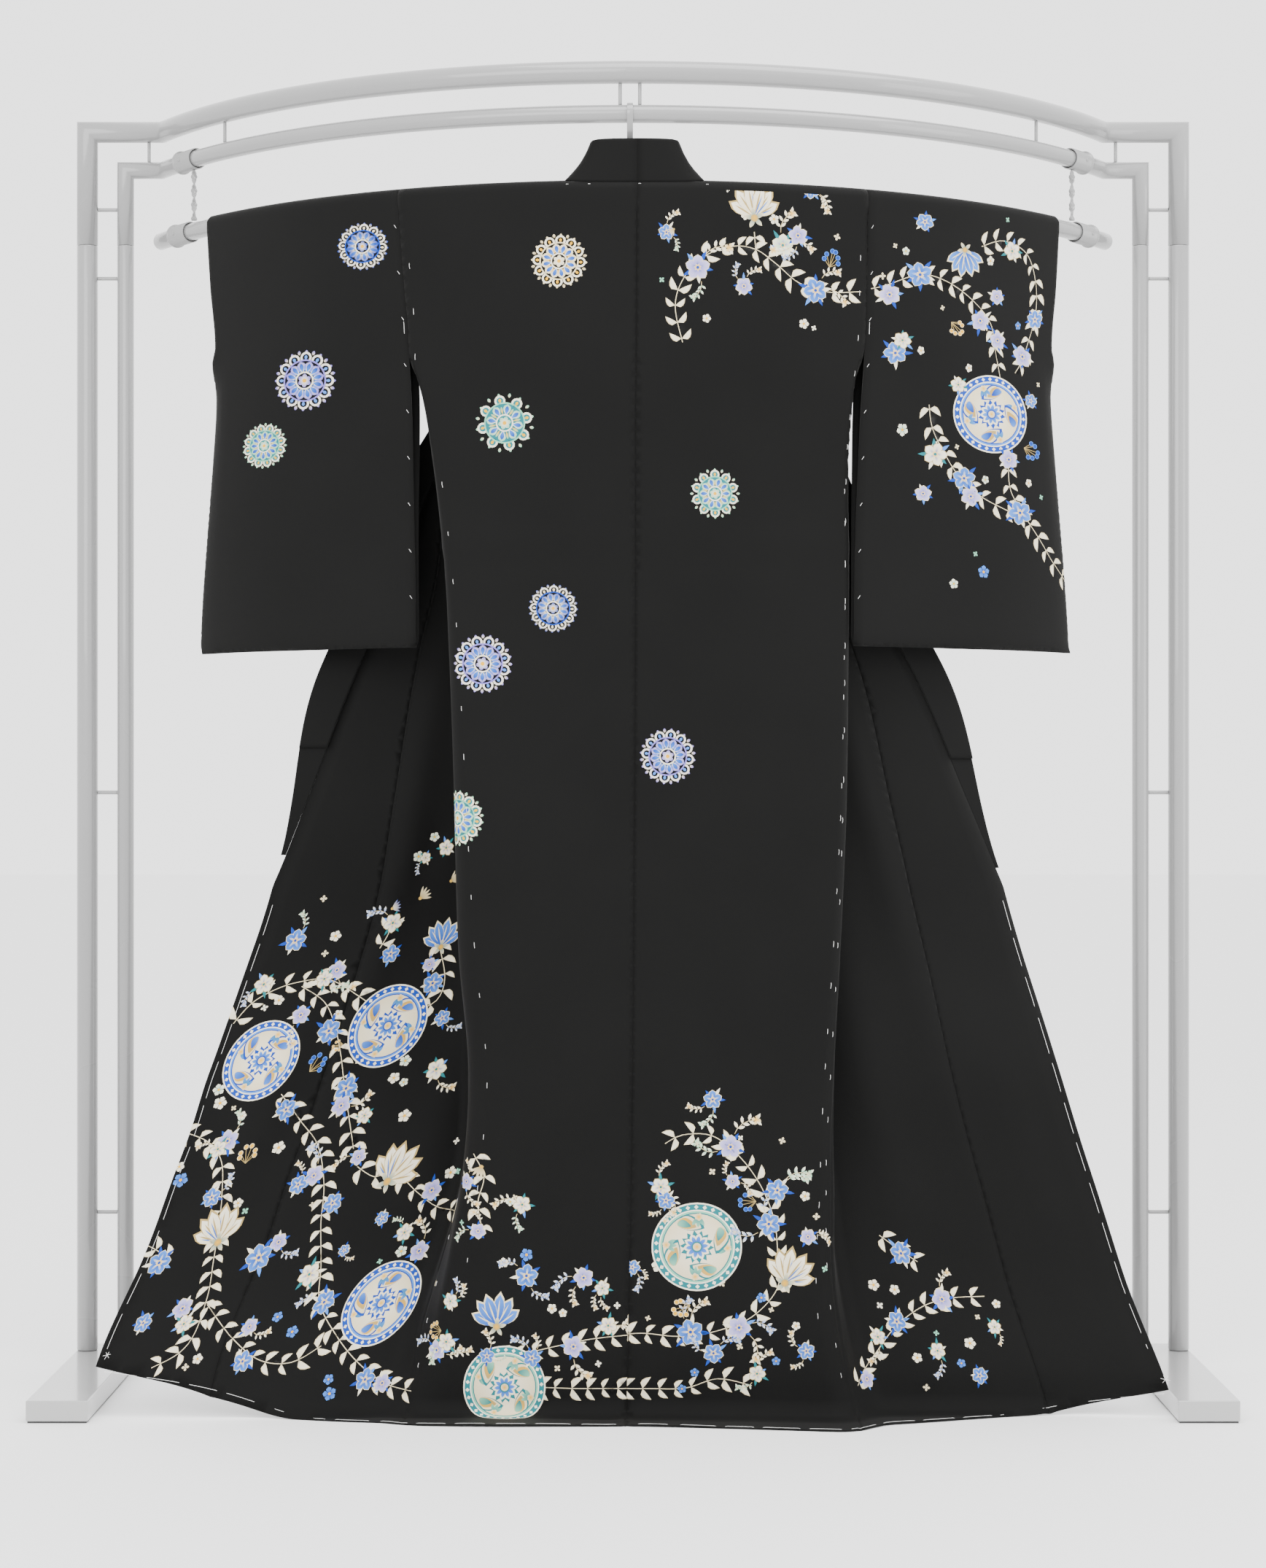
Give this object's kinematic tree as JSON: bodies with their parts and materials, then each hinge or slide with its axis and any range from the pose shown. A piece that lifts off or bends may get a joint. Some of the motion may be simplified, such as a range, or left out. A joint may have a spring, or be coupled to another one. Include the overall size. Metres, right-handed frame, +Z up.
{
  "type": "homongi kimono on a bowed display stand",
  "caption": "Formal visiting kimono in black crepe with flower sprays, hung by its sleeves from the bowed pole of a white two-rail display stand, back shown and fronts spread.",
  "frame": {"origin": "floor level under the middle of the whole, between the two base plates", "axes": "+Z up, -Y towards the visitor who sees the back of the kimono, +X to that visitor's right"},
  "size_m": [1.604, 0.4976, 1.801],
  "materials": {
    "crepe": "black silk crepe with painted flower, leaf and medallion motifs",
    "gloss_paint": "pale grey gloss paint on steel tube",
    "plate_paint": "white gloss paint on flat base plates"
  },
  "bodies": {
    "root": {"body_left": "crepe", "body_right": "crepe", "overlap_left": "crepe", "overlap_right": "crepe", "collar_left": "crepe", "collar_right": "crepe", "over_collar_left": "crepe", "over_collar_right": "crepe", "sleeve_left": "crepe", "sleeve_right": "crepe", "upper_rail": "gloss_paint", "lower_rail": "gloss_paint", "pole": "gloss_paint", "centre_hook": "gloss_paint", "base_plate_left": "plate_paint", "outer_post_left": "gloss_paint", "inner_post_left": "gloss_paint", "rail_clip_left": "gloss_paint", "pole_clip_left": "gloss_paint", "chain_left": "gloss_paint", "rung_left_1": "gloss_paint", "rung_left_2": "gloss_paint", "rung_left_3": "gloss_paint", "rung_left_4": "gloss_paint", "base_plate_right": "plate_paint", "outer_post_right": "gloss_paint", "inner_post_right": "gloss_paint", "rail_clip_right": "gloss_paint", "pole_clip_right": "gloss_paint", "chain_right": "gloss_paint", "rung_right_1": "gloss_paint", "rung_right_2": "gloss_paint", "rung_right_3": "gloss_paint", "rung_right_4": "gloss_paint", "spacer_1": "gloss_paint", "spacer_2": "gloss_paint", "spacer_3": "gloss_paint", "spacer_4": "gloss_paint", "spacer_5": "gloss_paint", "spacer_6": "gloss_paint"}
  },
  "joints": []
}
